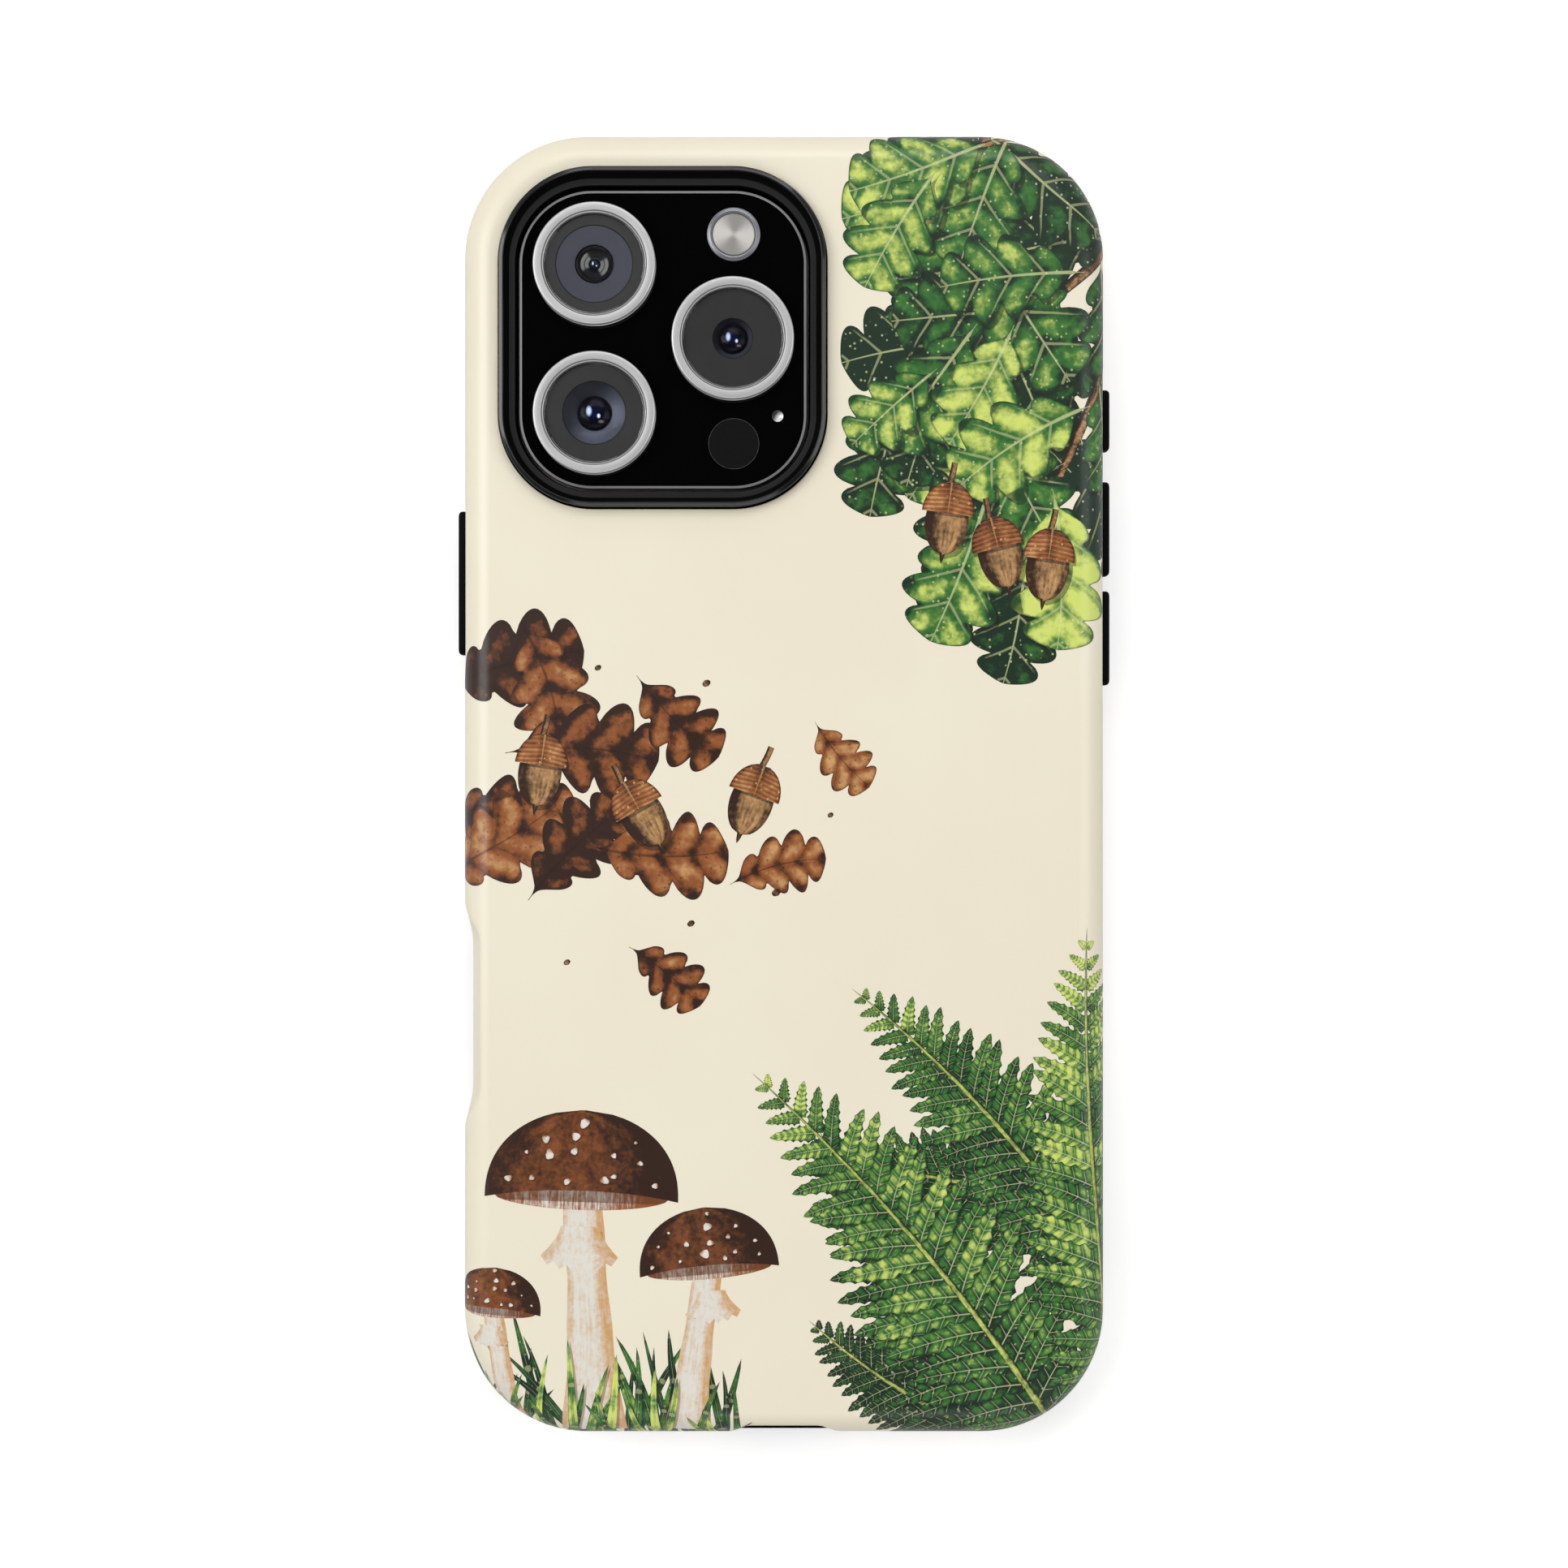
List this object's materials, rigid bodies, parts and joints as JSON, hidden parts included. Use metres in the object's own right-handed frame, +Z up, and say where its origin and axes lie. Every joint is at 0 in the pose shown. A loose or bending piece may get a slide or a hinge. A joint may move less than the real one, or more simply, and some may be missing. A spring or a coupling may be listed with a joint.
{
  "type": "smartphone in a protective case",
  "caption": "Large smartphone lying face down in a layered protective case: a printed hard shell over a black rubber liner with button covers and a raised camera guard.",
  "frame": {"origin": "on the surface that the case's front lip rests on, under the middle of the case", "axes": "+Y towards the phone's top edge, +Z up out of the phone's back, +X to the right of someone who looks down at the back"},
  "size_m": [0.0852, 0.1684, 0.0139],
  "materials": {
    "printed_shell": "satin gloss cream with a printed plant design",
    "liner_rubber": "satin black",
    "phone_frame": "brushed warm grey",
    "black_glass": "polished opaque black",
    "port_plastic": "matte black",
    "polished_steel": "satin with polished edges",
    "lens_glass": "clear, coated",
    "lens_barrel": "matte dark grey",
    "lens_element": "polished dark blue",
    "flash_diffuser": "frosted pale grey with a fine radial pattern"
  },
  "bodies": {
    "cased_phone": {"case_shell": "printed_shell", "case_liner": "liner_rubber", "phone_body": "phone_frame", "display_glass": "black_glass", "port_tongue": "port_plastic", "camera_plateau": "black_glass", "upper_lens_ring": "polished_steel", "upper_lens_window": "lens_glass", "upper_lens_barrel": "lens_barrel", "upper_lens_element": "lens_element", "lower_lens_ring": "polished_steel", "lower_lens_window": "lens_glass", "lower_lens_barrel": "lens_barrel", "lower_lens_element": "lens_element", "side_lens_ring": "polished_steel", "side_lens_window": "lens_glass", "side_lens_barrel": "lens_barrel", "side_lens_element": "lens_element", "flash_bezel": "polished_steel", "flash_lens": "flash_diffuser", "depth_sensor_window": "black_glass", "microphone_grille": "polished_steel"},
    "power_button": {"power_button_cover": "liner_rubber"},
    "action_button": {"action_button_cover": "liner_rubber"},
    "volume_up_button": {"volume_up_cover": "liner_rubber"},
    "volume_down_button": {"volume_down_cover": "liner_rubber"},
    "camera_control": {"camera_control_key": "black_glass"}
  },
  "joints": [
    {"name": "power_press", "type": "slide", "parent": "cased_phone", "child": "power_button", "axis": [1, 0, 0], "range_m": [0, 0.0004], "stiffness_N_per_m": 4000},
    {"name": "action_press", "type": "slide", "parent": "cased_phone", "child": "action_button", "axis": [-1, 0, 0], "range_m": [0, 0.0004], "stiffness_N_per_m": 4000},
    {"name": "volume_up_press", "type": "slide", "parent": "cased_phone", "child": "volume_up_button", "axis": [-1, 0, 0], "range_m": [0, 0.0004], "stiffness_N_per_m": 4000},
    {"name": "volume_down_press", "type": "slide", "parent": "cased_phone", "child": "volume_down_button", "axis": [-1, 0, 0], "range_m": [0, 0.0004], "stiffness_N_per_m": 4000},
    {"name": "camera_control_press", "type": "slide", "parent": "cased_phone", "child": "camera_control", "axis": [1, 0, 0], "range_m": [0, 0.00015], "stiffness_N_per_m": 8000}
  ]
}
